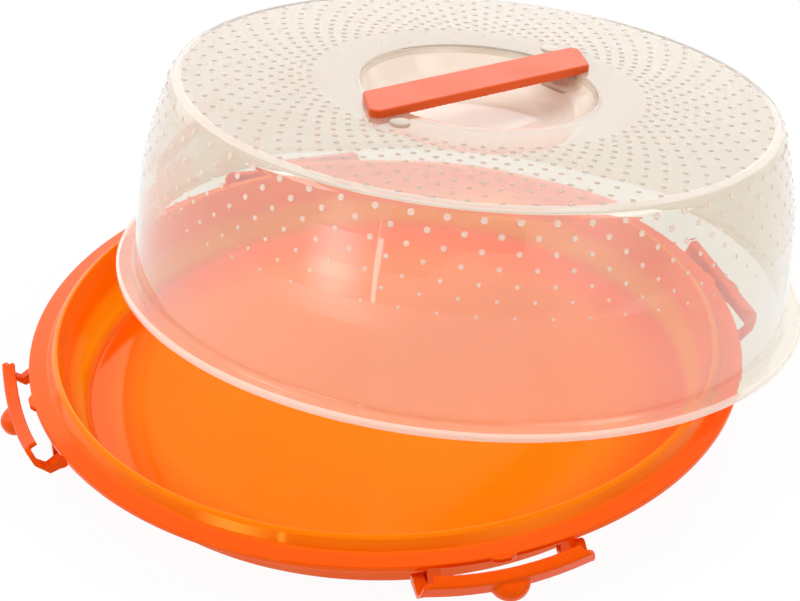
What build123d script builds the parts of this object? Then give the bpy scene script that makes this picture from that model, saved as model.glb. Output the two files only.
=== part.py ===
"""Round cake carrier: footed tray, clear domed lid with a strap handle, four swing latches.

Units are millimetres. +Z is up, the origin is at the centre of the tray's foot on the table,
and the front of the carrier faces -Y. The lid leans on the tray and the latches are open.
Each piece is written to its own STEP file in parts/.
"""

import os
from math import cos, radians, sin, sqrt, tan

from build123d import *

# ---------------------------------------------------------------- tray
CREST_HEIGHT = 38.0  # top of the inner ridge above the table
CREST_RADIUS = 161.3  # radius of the ridge's crest
CREST_BEAD = 1.6  # width of the rounded bead that forms the crest
RIDGE_RUN = 3.7  # foot of the ridge's outer face outside the crest
SHOULDER_DROP = 6.1  # foot of the ridge's outer face below the crest
BAND_WIDTH = 9.3  # seating band, from the ridge to the rim's edge
RIM_DROP = 7.0  # outer edge of the seating band below the crest
SKIRT_DROP = 9.8  # bottom of the turned-down skirt below the crest
SKIRT_WALL = 2.4
WALL_RUN = 12.2  # the floor's edge inside the crest
FLOOR_DROP = 33.4  # floor below the crest
TRAY_WALL = 2.2
WALL_BOW = 1.1  # how far the inner wall bows outward at mid height
FLOOR_FILLET = 3.0
FOOT_INSET = 4.0  # foot ring inside the floor's edge
FOOT_WALL = 2.4
STIFFENER_RADIUS = 60.0  # inner foot ring under the middle of the floor
CATCH_WIDTH = 12.5  # bump on the rim at the middle of each latch
CATCH_REACH = 2.0

# ---------------------------------------------------------------- latches
LATCH_AZIMUTHS = {"latch_front": 288.0, "latch_left": 198.0, "latch_right": 18.0, "latch_back": 108.0}
HINGE_INSET = 6.3  # hinge line inside the rim's edge
HINGE_DROP = 16.6  # hinge line below the crest
LATCH_SWING = 32.0  # degrees from the place the bar is drawn in to the closed bar
LATCH_DROOP = 21.0  # degrees that the open bar hangs below the place it is drawn in
BAR_HALF_SPAN = 12.75  # degrees of azimuth
LIP_HALF_SPAN = 11.4
LIP_REACH = 8.8  # inner edge of the lip beyond the hinge line, as drawn
BAR_REACH = 15.2  # outer face beyond the hinge line, as drawn
BAR_TOP = 11.9  # top face above the hinge line, as drawn
BAR_FOOT = 3.0  # lower edge above the hinge line, as drawn
BAR_WALL = 2.5
LIP_THICKNESS = 2.3
BAR_EDGE_ROUND = 0.8
TAB_HALF_WIDTH = 9.2  # thumb tab
TAB_REACH = 6.4  # beyond the bar's outer face
TAB_FOOT = 1.6  # lower edge above the hinge line, as drawn
TAB_HEIGHT = 8.4
TAB_ROUND = 3.4
END_SLOPE_RUN = 8.0  # sloped top corner at each end of the bar
END_SLOPE_DROP = 6.0
EAR_WIDTH = 5.6
EAR_ELBOW = (7.6, 1.8)  # outer bend of the ear from the hinge line, bar closed
EAR_RISE = 5.0  # inner bend of the ear above the hinge line, bar closed
EAR_SHOULDER = 13.0  # upper inner bend of the ear above the hinge line, bar closed
EAR_CLEARANCE = 0.4  # between a closed ear and the closed lid's flange
EYE_RADIUS = 3.2
PIN_RADIUS = 1.6
PIN_LENGTH = 5.2
PIN_CLEARANCE = 0.07
LUG_WIDTH = 6.0
LUG_GAP = 0.5  # between a lug and its ear
LUG_RADIUS = 3.2

# ---------------------------------------------------------------- lid
LID_HEIGHT = 100.4  # underside of the flange below the top edge
SIDE_RUN = 16.4  # top edge inside the foot of the side
LID_WALL = 2.0
FOOT_RISE = 2.0  # bevel where the side meets the flange
SIDE_STEPS = [(2.7, 5.0), (4.6, 11.5), (8.5, 25.2), (11.9, 39.0), (14.0, 56.0), (15.2, 74.0)]  # out, down
DOME_RISE = 3.5
DOME_RUN = 66.2  # domed ring of the top, from the flat middle to the edge
EDGE_BEAD_WIDTH = 2.0  # raised line around the top edge
EDGE_BEAD_RISE = 0.5
FLANGE_OVERHANG = 1.9  # flange beyond the tray's rim
FLANGE_WIDTH = 8.6
FLANGE_THICKNESS = 2.2
FLANGE_LIP_DROP = 1.4
RECESS_RADIUS = 61.2
THROAT_INSET = 3.5  # where the recess turns down, inside its rim
BOWL_RUN = 17.2  # edge of the recess floor inside its rim
RECESS_DEPTH = 15.0  # recess floor below the top edge
THROAT_LEVEL = -1.4
BOWL_BULGE = 2.2
LID_TILT = 9.376  # degrees
LID_TILT_AZIMUTH = 57.8
LID_SPIN = 6.8
LID_SEAT = (37.21404, 59.8793, 30.3913)  # centre of the flange's underside while the lid leans on the tray

# ---------------------------------------------------------------- handle
HANDLE_LENGTH = 145.8
HANDLE_WIDTH = 25.4
HANDLE_THICKNESS = 4.6
HANDLE_TOP = 6.1  # above the lid's top edge
HANDLE_AZIMUTH = 34.1
HANDLE_END_ANGLE = 58.5  # degrees between an end and the long side
HANDLE_CORNER = 4.0
HANDLE_EDGE = 0.7
LEG_OFFSET = 60.0  # from the middle of the handle
LEG_LENGTH = 9.0
LEG_WIDTH = 12.0
LEG_DROP = 9.0
LEG_CLEARANCE = 0.3
SOCKET_WALL = 2.0
SOCKET_LENGTH = 17.0
POCKET_MARGIN = 0.4
BOSS_RADIUS = 5.1  # round boss beside each socket
BOSS_OFFSET = (66.8, 19.3)
BOSS_HEIGHT = 1.4

# ---------------------------------------------------------------- radii that follow
SHOULDER_RADIUS = CREST_RADIUS + RIDGE_RUN
RIM_RADIUS = SHOULDER_RADIUS + BAND_WIDTH
FLOOR_RADIUS = CREST_RADIUS - WALL_RUN
FOOT_RADIUS = FLOOR_RADIUS - FOOT_INSET
HINGE_RADIUS = RIM_RADIUS - HINGE_INSET
FLANGE_RADIUS = RIM_RADIUS + FLANGE_OVERHANG
LID_FOOT_RADIUS = FLANGE_RADIUS - FLANGE_WIDTH
LID_TOP_RADIUS = LID_FOOT_RADIUS - SIDE_RUN
DOME_FLAT_RADIUS = LID_TOP_RADIUS - DOME_RUN
RECESS_THROAT = RECESS_RADIUS - THROAT_INSET
RECESS_FLOOR_RADIUS = RECESS_RADIUS - BOWL_RUN
BAR_CLOSED_RADIUS = (
    HINGE_RADIUS + BAR_REACH * cos(radians(LATCH_SWING)) - BAR_FOOT * sin(radians(LATCH_SWING))
)
EAR_OUTER = BAR_CLOSED_RADIUS * sin(radians(BAR_HALF_SPAN))  # outer face, sideways from the latch's middle

# ---------------------------------------------------------------- bends that follow
FLOOR_FILLET_LEAN = FLOOR_FILLET / 3  # how far the wall leans out over the fillet's height
FLOOR_FILLET_SAG = FLOOR_FILLET / 4  # how far the fillet's middle lies from its corner
WALL_UNDER_DROP = TRAY_WALL / 3  # middle of the wall's outside below the middle of its inside
CATCH_SAG = CATCH_WIDTH / 20  # how far the bump's round face falls back at its ends
END_SLOPE_TIP = END_SLOPE_DROP / 4  # start of the slope below the bar's top
THROAT_LEAN = THROAT_INSET / 4  # middle of the throat's bend outside the throat
THROAT_BEND = 0.75  # share of the throat's height below the middle of its bend
BOWL_WALL_RUN = 0.9 * LID_WALL  # sideways wall thickness of the sloping bowl
DOME_UNDER_DROP = EDGE_BEAD_WIDTH / 4  # extra thickness in the middle of the domed ring
LEG_HOLE_LENGTH = 4 * LEG_DROP  # long enough to pass through the socket and the top


def drop(below_crest):
    """Height above the table of a level given as a drop below the crest."""
    return CREST_HEIGHT - below_crest


def on_line(start, end, radius):
    """Height at the given radius on the straight line from start to end."""
    share = (radius - start[0]) / (end[0] - start[0])
    return start[1] + share * (end[1] - start[1])


def revolved(edges):
    """Solid of revolution about Z from a closed chain of edges in the XZ plane."""
    return revolve(make_face(edges), Axis.Z)


def at_azimuth(shape, azimuth):
    """Turn a shape built along +X to the given azimuth."""
    return Rot(0, 0, azimuth) * shape


def hinge_frame():
    """Location of a latch's hinge line: X outward, Y along the line, Z up."""
    return Pos(HINGE_RADIUS, 0, drop(HINGE_DROP))


# ---------------------------------------------------------------- tray
def tray_body():
    """Floor, bowed wall, ridge, seating band, skirt and foot as one moulding."""
    floor = drop(FLOOR_DROP)
    shoulder = (SHOULDER_RADIUS, drop(SHOULDER_DROP))
    rim = (RIM_RADIUS, drop(RIM_DROP))
    crest_in = (CREST_RADIUS - CREST_BEAD / 2, CREST_HEIGHT - CREST_BEAD / 2)
    crest_out = (CREST_RADIUS + CREST_BEAD / 2, CREST_HEIGHT - CREST_BEAD / 2)
    mid_in = (
        (FLOOR_RADIUS + crest_in[0]) / 2 + WALL_BOW,
        (floor + crest_in[1]) / 2 - WALL_BOW / 2,
    )
    skirt_in = RIM_RADIUS - SKIRT_WALL
    band_under = on_line(shoulder, rim, skirt_in) - TRAY_WALL
    neck = SHOULDER_RADIUS - TRAY_WALL
    wall_mid = (mid_in[0] + TRAY_WALL, mid_in[1] - WALL_UNDER_DROP)
    under = floor - TRAY_WALL
    foot_in = FOOT_RADIUS - FOOT_WALL
    ring_in = STIFFENER_RADIUS - FOOT_WALL
    points = [
        (0, floor),
        (FLOOR_RADIUS - FLOOR_FILLET, floor),
        (FLOOR_RADIUS + FLOOR_FILLET_LEAN, floor + FLOOR_FILLET),
    ]
    chain = [
        Line(points[0], points[1]),
        ThreePointArc(points[1], (FLOOR_RADIUS - FLOOR_FILLET_SAG, floor + FLOOR_FILLET_SAG), points[2]),
        ThreePointArc(points[2], mid_in, crest_in),
        ThreePointArc(crest_in, (CREST_RADIUS, CREST_HEIGHT), crest_out),
        Polyline(
            crest_out,
            shoulder,
            rim,
            (RIM_RADIUS, drop(SKIRT_DROP)),
            (skirt_in, drop(SKIRT_DROP)),
            (skirt_in, band_under),
            (neck, on_line(shoulder, rim, neck) - TRAY_WALL),
        ),
        ThreePointArc(
            (neck, on_line(shoulder, rim, neck) - TRAY_WALL),
            wall_mid,
            (FLOOR_RADIUS + TRAY_WALL / 2, under),
        ),
        Polyline(
            (FLOOR_RADIUS + TRAY_WALL / 2, under),
            (FOOT_RADIUS, under),
            (FOOT_RADIUS, 0),
            (foot_in, 0),
            (foot_in, under),
            (STIFFENER_RADIUS, under),
            (STIFFENER_RADIUS, 0),
            (ring_in, 0),
            (ring_in, under),
            (0, under),
            (0, floor),
        ),
    ]
    return revolved([Plane.XZ * edge for edge in chain])


def latch_lug(side):
    """Hinge lug under the rim, bored for the ear's pin; side is +1 or -1."""
    inner = side * (EAR_OUTER - EAR_WIDTH - LUG_GAP - LUG_WIDTH / 2)
    top = drop(RIM_DROP) - TRAY_WALL / 2
    height = top - drop(HINGE_DROP)
    block = hinge_frame() * Pos(0, inner, height / 2) * Box(2 * LUG_RADIUS, LUG_WIDTH, height)
    knuckle = hinge_frame() * Pos(0, inner, 0) * Rot(90, 0, 0) * Cylinder(LUG_RADIUS, LUG_WIDTH)
    bore = Rot(90, 0, 0) * Cylinder(PIN_RADIUS + PIN_CLEARANCE, LUG_WIDTH * 2)
    return block + knuckle - hinge_frame() * Pos(0, inner, 0) * bore


def catch_bump():
    """Rounded bump on the rim's edge that the bar rides over."""
    reach = RIM_RADIUS + CATCH_REACH
    rise = CATCH_REACH + CATCH_SAG
    bulge = CATCH_WIDTH**2 / (8 * rise) + rise / 2
    height = SKIRT_DROP - RIM_DROP
    return Pos(reach - bulge, 0, drop(SKIRT_DROP) + height / 2) * Cylinder(bulge, height) & (
        Pos(reach, 0, drop(SKIRT_DROP) + height / 2) * Box(CATCH_WIDTH, CATCH_WIDTH, height)
    )


def base_tray():
    """Tray with its hinge lugs and catch bumps."""
    tray = tray_body()
    for azimuth in LATCH_AZIMUTHS.values():
        tray += at_azimuth(latch_lug(1), azimuth)
        tray += at_azimuth(latch_lug(-1), azimuth)
        tray += at_azimuth(catch_bump(), azimuth)
    return tray


# ---------------------------------------------------------------- latches
def swung(point, degrees):
    """Turn a point given from the hinge line; positive closes the latch."""
    angle = radians(degrees)
    return (
        point[0] * cos(angle) - point[1] * sin(angle),
        point[0] * sin(angle) + point[1] * cos(angle),
    )


def bar_end(point):
    """Where a point of the bar's open section comes to at the bar's end, bar closed."""
    outward, up = swung(point, LATCH_SWING)
    return (HINGE_RADIUS + outward) * cos(radians(BAR_HALF_SPAN)) - HINGE_RADIUS, up


def closed_ring(section, half_span):
    """Bar of the given open section, bent round the tray in its closed place, then opened."""
    placed = []
    for point in section:
        outward, up = swung(point, LATCH_SWING)
        placed.append((HINGE_RADIUS + outward, drop(HINGE_DROP) + up))
    face = Plane.XZ * make_face(Polyline(*placed, close=True))
    ring = revolve(Rot(0, 0, -half_span) * face, Axis.Z, 2 * half_span)
    line = Axis((HINGE_RADIUS, 0, drop(HINGE_DROP)), (0, 1, 0))
    return ring.rotate(line, LATCH_SWING)


def bar():
    """Curved bar of the latch: outer wall and the lip that grips the lid's flange."""
    wall = [
        (BAR_REACH - BAR_WALL, BAR_FOOT),
        (BAR_REACH - BAR_EDGE_ROUND, BAR_FOOT),
        (BAR_REACH, BAR_FOOT + BAR_EDGE_ROUND),
        (BAR_REACH, BAR_TOP - BAR_EDGE_ROUND),
        (BAR_REACH - BAR_EDGE_ROUND, BAR_TOP),
        (BAR_REACH - BAR_WALL, BAR_TOP),
    ]
    lip = [
        (BAR_REACH - BAR_WALL, BAR_TOP - LIP_THICKNESS),
        (BAR_REACH - BAR_EDGE_ROUND, BAR_TOP - LIP_THICKNESS),
        (BAR_REACH - BAR_EDGE_ROUND, BAR_TOP),
        (LIP_REACH + BAR_EDGE_ROUND, BAR_TOP),
        (LIP_REACH, BAR_TOP - BAR_EDGE_ROUND),
        (LIP_REACH, BAR_TOP - LIP_THICKNESS),
    ]
    return closed_ring(wall, BAR_HALF_SPAN) + closed_ring(lip, LIP_HALF_SPAN)


def thumb_tab():
    """Rounded lobe in the middle of the bar for the thumb."""
    middle = BAR_REACH + TAB_REACH - TAB_HALF_WIDTH
    lobe = Pos(middle, 0, TAB_FOOT + TAB_HEIGHT / 2) * Cylinder(TAB_HALF_WIDTH, TAB_HEIGHT)
    lobe = fillet(lobe.edges().filter_by(GeomType.CIRCLE), TAB_ROUND)
    inside = Pos(BAR_REACH - BAR_WALL / 2, 0, TAB_FOOT) * Box(
        2 * TAB_HALF_WIDTH,
        2 * TAB_HALF_WIDTH,
        2 * TAB_HEIGHT,
        align=(Align.MAX, Align.CENTER, Align.CENTER),
    )
    return hinge_frame() * (lobe - inside)


def ear(side):
    """Cranked arm from the bar's end to the hinge eye, with its pin; side is +1 or -1."""
    flange = sqrt(FLANGE_RADIUS**2 - (EAR_OUTER - EAR_WIDTH) ** 2) - HINGE_RADIUS
    closed = [
        (0, -EYE_RADIUS),
        EAR_ELBOW,
        bar_end((BAR_REACH, BAR_FOOT)),
        bar_end((BAR_REACH, BAR_TOP)),
        (flange + EAR_CLEARANCE, EAR_SHOULDER),
        (flange + EAR_CLEARANCE, EAR_RISE),
        (0, EYE_RADIUS),
    ]
    outline = make_face(Polyline(*[swung(point, -LATCH_SWING) for point in closed], close=True))
    plate = extrude(outline, EAR_WIDTH)
    plate += Cylinder(EYE_RADIUS, EAR_WIDTH, align=(Align.CENTER, Align.CENTER, Align.MIN))
    upright = Plane.XZ * plate
    start = EAR_OUTER if side > 0 else EAR_WIDTH - EAR_OUTER
    pin_middle = side * (EAR_OUTER - EAR_WIDTH - PIN_LENGTH / 2)
    pin = Pos(0, pin_middle, 0) * Rot(90, 0, 0) * Cylinder(PIN_RADIUS, PIN_LENGTH + EAR_WIDTH / 2)
    return hinge_frame() * (Pos(0, start, 0) * upright + pin)


def end_slope():
    """Wedge that takes the top corner off one end of the bar."""
    top = BAR_TOP + END_SLOPE_DROP
    corner = Polyline(
        (EAR_OUTER - END_SLOPE_RUN, top),
        (EAR_OUTER + END_SLOPE_RUN, top),
        (EAR_OUTER + END_SLOPE_RUN, BAR_TOP - END_SLOPE_DROP),
        (EAR_OUTER, BAR_TOP - END_SLOPE_TIP),
        close=True,
    )
    return hinge_frame() * extrude(Plane.YZ * make_face(corner), BAR_REACH + END_SLOPE_RUN)


def latch(azimuth):
    """One latch, hanging open."""
    body = bar() + thumb_tab() + ear(1) + ear(-1)
    body -= end_slope() + mirror(end_slope(), Plane.XZ)
    line = Axis((HINGE_RADIUS, 0, drop(HINGE_DROP)), (0, 1, 0))
    return at_azimuth(body.rotate(line, LATCH_DROOP), azimuth)


# ---------------------------------------------------------------- lid
def lid_place():
    """Location of the leaning lid; its local origin is the centre of the top edge."""
    lean = Rot(0, 0, LID_TILT_AZIMUTH) * Rot(0, LID_TILT, 0) * Rot(0, 0, LID_SPIN - LID_TILT_AZIMUTH)
    return Pos(*LID_SEAT) * lean * Pos(0, 0, LID_HEIGHT)


def dome(radius):
    """Height of the lid's outer top surface above the top edge."""
    reach = max(radius, DOME_FLAT_RADIUS) / LID_TOP_RADIUS
    return DOME_RISE * (1 - reach**2)


def lid_shell():
    """Clear lid: dome with a handle recess, flared side and flange, in one wall thickness."""
    wall = LID_WALL
    foot = -LID_HEIGHT + FLANGE_THICKNESS + FOOT_RISE
    side = [(LID_TOP_RADIUS + out, -down) for out, down in SIDE_STEPS]
    flat = dome(0)
    floor = -RECESS_DEPTH
    mid = (LID_TOP_RADIUS + DOME_FLAT_RADIUS) / 2
    brow = LID_TOP_RADIUS - 2 * EDGE_BEAD_WIDTH
    bend = (RECESS_THROAT + RECESS_FLOOR_RADIUS) / 2
    outer = [
        Line((0, floor), (RECESS_FLOOR_RADIUS, floor)),
        ThreePointArc(
            (RECESS_FLOOR_RADIUS, floor),
            (bend + BOWL_BULGE, (floor + THROAT_LEVEL) / 2 - BOWL_BULGE),
            (RECESS_THROAT, THROAT_LEVEL),
        ),
        ThreePointArc(
            (RECESS_THROAT, THROAT_LEVEL),
            (RECESS_THROAT + THROAT_LEAN, THROAT_LEVEL + THROAT_BEND * (flat - THROAT_LEVEL)),
            (RECESS_RADIUS, flat),
        ),
        Line((RECESS_RADIUS, flat), (DOME_FLAT_RADIUS, flat)),
        ThreePointArc((DOME_FLAT_RADIUS, flat), (mid, dome(mid)), (brow, dome(brow))),
        ThreePointArc(
            (brow, dome(brow)),
            (brow + EDGE_BEAD_WIDTH, dome(brow) + EDGE_BEAD_RISE),
            (LID_TOP_RADIUS, 0),
        ),
        ThreePointArc((LID_TOP_RADIUS, 0), side[0], side[1]),
        ThreePointArc(side[1], side[2], side[3]),
        ThreePointArc(side[3], side[4], (LID_FOOT_RADIUS, foot)),
        Polyline(
            (LID_FOOT_RADIUS, foot),
            (LID_FOOT_RADIUS + FOOT_RISE, -LID_HEIGHT + FLANGE_THICKNESS),
            (FLANGE_RADIUS - FLANGE_LIP_DROP, -LID_HEIGHT + FLANGE_THICKNESS),
            (FLANGE_RADIUS, -LID_HEIGHT + FLANGE_THICKNESS / 2),
            (FLANGE_RADIUS, -LID_HEIGHT - FLANGE_LIP_DROP),
            (FLANGE_RADIUS - FLANGE_LIP_DROP, -LID_HEIGHT - FLANGE_LIP_DROP),
            (FLANGE_RADIUS - FLANGE_LIP_DROP, -LID_HEIGHT),
            (LID_FOOT_RADIUS, -LID_HEIGHT),
            (LID_FOOT_RADIUS - wall, foot),
        ),
    ]
    inner = [
        ThreePointArc(
            (LID_FOOT_RADIUS - wall, foot),
            (side[4][0] - wall, side[4][1]),
            (side[3][0] - wall, side[3][1]),
        ),
        ThreePointArc(
            (side[3][0] - wall, side[3][1]),
            (side[2][0] - wall, side[2][1]),
            (side[1][0] - wall, side[1][1]),
        ),
        Line((side[1][0] - wall, side[1][1]), (brow, dome(brow) - wall - EDGE_BEAD_WIDTH)),
        ThreePointArc(
            (brow, dome(brow) - wall - EDGE_BEAD_WIDTH),
            (mid, dome(mid) - wall - DOME_UNDER_DROP),
            (DOME_FLAT_RADIUS, flat - wall),
        ),
        Line((DOME_FLAT_RADIUS, flat - wall), (RECESS_RADIUS + wall / 2, flat - wall)),
        ThreePointArc(
            (RECESS_RADIUS + wall / 2, flat - wall),
            (bend + BOWL_BULGE + BOWL_WALL_RUN, (floor + THROAT_LEVEL) / 2 - BOWL_BULGE - wall / 2),
            (RECESS_FLOOR_RADIUS, floor - wall),
        ),
        Polyline((RECESS_FLOOR_RADIUS, floor - wall), (0, floor - wall), (0, floor)),
    ]
    return revolved([Plane.XZ * edge for edge in outer + inner])


def handle_outline(margin):
    """Skewed outline of the strap on the XY plane, grown by the margin on each side."""
    half_width = HANDLE_WIDTH / 2 + margin
    half_length = HANDLE_LENGTH / 2 + margin / sin(radians(HANDLE_END_ANGLE))
    skew = half_width / tan(radians(HANDLE_END_ANGLE))
    outline = Polyline(
        (-half_length - skew, -half_width),
        (half_length - skew, -half_width),
        (half_length + skew, half_width),
        (-half_length + skew, half_width),
        close=True,
    )
    return make_face(outline)


def socket(side):
    """Clear block under one end of the handle, before its hole is cut."""
    middle = side * LEG_OFFSET
    height = LEG_DROP + HANDLE_TOP - HANDLE_THICKNESS
    width = LEG_WIDTH + 2 * SOCKET_WALL
    block = Box(SOCKET_LENGTH, width, height, align=(Align.CENTER, Align.CENTER, Align.MAX))
    bottom = HANDLE_TOP - HANDLE_THICKNESS
    boss = Pos(side * BOSS_OFFSET[0], -side * BOSS_OFFSET[1], dome(0) - LID_WALL / 2)
    peg = Cylinder(BOSS_RADIUS, BOSS_HEIGHT + LID_WALL / 2, align=(Align.CENTER, Align.CENTER, Align.MIN))
    return Pos(middle, 0, bottom) * block + boss * peg


def lid():
    """Lid with the pockets and sockets that hold the handle."""
    shell = lid_shell()
    turn = Rot(0, 0, HANDLE_AZIMUTH)
    for side in (1, -1):
        shell += turn * socket(side)
        hole = Box(
            LEG_LENGTH + 2 * LEG_CLEARANCE,
            LEG_WIDTH + 2 * LEG_CLEARANCE,
            LEG_HOLE_LENGTH,
        )
        shell -= turn * Pos(side * LEG_OFFSET, 0, 0) * hole
    pocket = extrude(handle_outline(POCKET_MARGIN), HANDLE_THICKNESS)
    return lid_place() * (shell - turn * Pos(0, 0, HANDLE_TOP - HANDLE_THICKNESS) * pocket)


def carry_handle():
    """Flat strap with skewed ends and two legs that drop into the lid's sockets."""
    strap = extrude(handle_outline(0), HANDLE_THICKNESS)
    strap = fillet(strap.edges().filter_by(Axis.Z), HANDLE_CORNER)
    strap = fillet(strap.faces().sort_by(Axis.Z)[-1].edges(), HANDLE_EDGE)
    for side in (1, -1):
        leg = Box(LEG_LENGTH, LEG_WIDTH, LEG_DROP, align=(Align.CENTER, Align.CENTER, Align.MAX))
        strap += Pos(side * LEG_OFFSET, 0, 0) * leg
    place = Pos(0, 0, HANDLE_TOP - HANDLE_THICKNESS)
    return lid_place() * Rot(0, 0, HANDLE_AZIMUTH) * place * strap


def main():
    """Build every piece and write one STEP file for each."""
    os.makedirs("parts", exist_ok=True)
    pieces = {"base_tray": base_tray(), "lid": lid(), "carry_handle": carry_handle()}
    for name, azimuth in LATCH_AZIMUTHS.items():
        pieces[name] = latch(azimuth)
    for name, shape in pieces.items():
        export_step(shape, f"parts/{name}.step")


main()
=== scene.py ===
"""Dresses the round cake carrier: glossy tray, clear dotted lid, strap handle and swing latches."""

import logging
import math
from dataclasses import dataclass
from enum import Enum
import bmesh  # noqa: E402
import bpy  # noqa: E402
from mathutils import Matrix, Vector  # noqa: E402


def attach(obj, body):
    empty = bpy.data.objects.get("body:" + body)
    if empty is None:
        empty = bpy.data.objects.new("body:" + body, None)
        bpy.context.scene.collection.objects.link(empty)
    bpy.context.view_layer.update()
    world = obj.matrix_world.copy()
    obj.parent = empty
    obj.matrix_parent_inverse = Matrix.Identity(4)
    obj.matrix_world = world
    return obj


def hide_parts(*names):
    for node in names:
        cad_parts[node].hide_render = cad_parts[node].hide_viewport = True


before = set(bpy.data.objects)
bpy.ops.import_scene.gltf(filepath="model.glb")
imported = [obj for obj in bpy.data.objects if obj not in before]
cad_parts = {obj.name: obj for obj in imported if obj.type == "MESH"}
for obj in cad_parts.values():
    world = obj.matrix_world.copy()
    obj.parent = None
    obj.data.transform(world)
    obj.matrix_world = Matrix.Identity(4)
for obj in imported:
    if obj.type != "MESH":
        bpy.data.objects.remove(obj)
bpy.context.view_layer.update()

LOG = logging.getLogger("cake_carrier")
MM = 0.001
PLASTIC_IOR = 1.49
RAMP_END = 180  # millimetres from the axis at which a colour ramp by radius ends
WHITE = (1, 1, 1, 1)
ABOVE_TABLE = 0.002  # height in metres of a card that lies over the table
SHARP_FITTING = 30.0  # edges of small fittings turned by more degrees than this stay sharp
SAME_PLACE = 1e-6  # points of an outline nearer than this many millimetres are one
Point = tuple[float, float]
Spot = tuple[float, float, float]
Corner = tuple[float, float, float]  # x, y and the radius that rounds the corner


def linear(hex_colour: str) -> tuple[float, float, float, float]:
    """Turn an sRGB hex colour into the linear colour that shaders read.

    Args:
        hex_colour: colour written as "#rrggbb".

    Returns:
        Linear red, green, blue and an alpha of one.
    """
    channels = [int(hex_colour[i : i + 2], 16) / 255 for i in (1, 3, 5)]
    turned = [c / 12.92 if c <= 0.04045 else ((c + 0.055) / 1.055) ** 2.4 for c in channels]
    return (turned[0], turned[1], turned[2], 1.0)


def add_node(
    tree: bpy.types.NodeTree,
    kind: str,
    settings: dict[str, object] | None = None,
    links: dict[str | int, bpy.types.NodeSocket] | None = None,
    values: dict[str | int, object] | None = None,
) -> bpy.types.Node:
    """Add one node with its settings, input values and incoming links.

    Args:
        tree: tree that the node joins.
        kind: Blender's type name of the node.
        settings: attributes of the node.
        links: sockets that feed the node's inputs.
        values: default values of the node's inputs.

    Returns:
        The new node.
    """
    node = tree.nodes.new(kind)
    for name, value in (settings or {}).items():
        setattr(node, name, value)
    for name, value in (values or {}).items():
        node.inputs[name].default_value = value
    for name, socket in (links or {}).items():
        tree.links.new(socket, node.inputs[name])
    return node


def beside(datum: Point, corner: Corner) -> Corner:
    """Corner of an outline given from another point.

    Args:
        datum: the point that the corner is measured from.
        corner: distances from it and the corner's radius.

    Returns:
        The corner in the outline's own coordinates.
    """
    return (datum[0] + corner[0], datum[1] + corner[1], corner[2])


def rounded(points: list[Corner], steps: int = 5) -> list[Point]:
    """Turn a closed outline of corners, each with a radius, into a smooth outline.

    Args:
        points: corners as (x, y, corner radius).
        steps: segments in each rounded corner.

    Returns:
        The outline's points in the same order.
    """
    outline: list[Point] = []
    count = len(points)
    for index, (x, y, radius) in enumerate(points):
        corner = Vector((x, y))
        before = Vector(points[index - 1][:2]) - corner
        after = Vector(points[(index + 1) % count][:2]) - corner
        if radius <= 0 or before.length < SAME_PLACE or after.length < SAME_PLACE:
            outline.append((x, y))
            continue
        half = before.angle(after) / 2
        if half > math.radians(89.5):
            outline.append((x, y))
            continue
        reach = min(radius / math.tan(half), before.length * 0.49, after.length * 0.49)
        start = corner + before.normalized() * reach
        end = corner + after.normalized() * reach
        for step in range(steps + 1):
            share = step / steps
            low = start.lerp(corner, share)
            high = corner.lerp(end, share)
            outline.append(tuple(low.lerp(high, share)))
    return outline


def lathe(name: str, outline: list[Point], place: Matrix, segments: int = 288) -> bpy.types.Object:
    """Turn a closed outline in millimetres round the Z axis into a mesh object.

    Args:
        name: name of the object.
        outline: closed outline as (radius, height); points on the axis have radius 0.
        place: transform put into the mesh.
        segments: number of steps round the axis.

    Returns:
        The object, with its place in its mesh.
    """
    mesh = bmesh.new()
    rings: list[list[bmesh.types.BMVert]] = []
    for radius, height in outline:
        if radius < SAME_PLACE:
            rings.append([mesh.verts.new((0, 0, height * MM))])
            continue
        ring = []
        for step in range(segments):
            angle = 2 * math.pi * step / segments
            spot = (radius * math.cos(angle) * MM, radius * math.sin(angle) * MM, height * MM)
            ring.append(mesh.verts.new(spot))
        rings.append(ring)
    for index, lower in enumerate(rings):
        upper = rings[(index + 1) % len(rings)]
        for step in range(segments):
            after = (step + 1) % segments
            corners = [lower[step % len(lower)], lower[after % len(lower)]]
            corners += [upper[after % len(upper)], upper[step % len(upper)]]
            unique = list(dict.fromkeys(corners))
            if len(unique) > 2:
                mesh.faces.new(unique)
    bmesh.ops.remove_doubles(mesh, verts=mesh.verts, dist=1e-7)
    bmesh.ops.recalc_face_normals(mesh, faces=mesh.faces)
    return finished(name, mesh, place)


def new_material(name: str) -> tuple[bpy.types.Material, bpy.types.NodeTree]:
    """Start a node material with an empty tree.

    Args:
        name: name of the material.

    Returns:
        The material and its tree.
    """
    material = bpy.data.materials.new(name)
    material.use_nodes = True
    material.node_tree.nodes.clear()
    return material, material.node_tree


def settle(piece: bpy.types.Object) -> None:
    """Turn an object's modifiers into part of its plain mesh.

    Args:
        piece: the object, changed in place.
    """
    graph = bpy.context.evaluated_depsgraph_get()
    data = bpy.data.meshes.new_from_object(piece.evaluated_get(graph))
    piece.modifiers.clear()
    piece.data = data


def finished(name: str, mesh: bmesh.types.BMesh, place: Matrix, sharp: float = 40.0) -> bpy.types.Object:
    """Make an object from a bmesh, smooth-shaded up to the sharp angle.

    Args:
        name: name of the object.
        mesh: the mesh, freed here.
        place: transform put into the mesh.
        sharp: edges turned by more than this many degrees stay sharp.

    Returns:
        The object, linked to the scene.
    """
    data = bpy.data.meshes.new(name)
    bmesh.ops.transform(mesh, matrix=place, verts=mesh.verts)
    mesh.to_mesh(data)
    mesh.free()
    data.shade_smooth()
    data.set_sharp_from_angle(angle=math.radians(sharp))
    thing = bpy.data.objects.new(name, data)
    bpy.context.scene.collection.objects.link(thing)
    return thing


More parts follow.
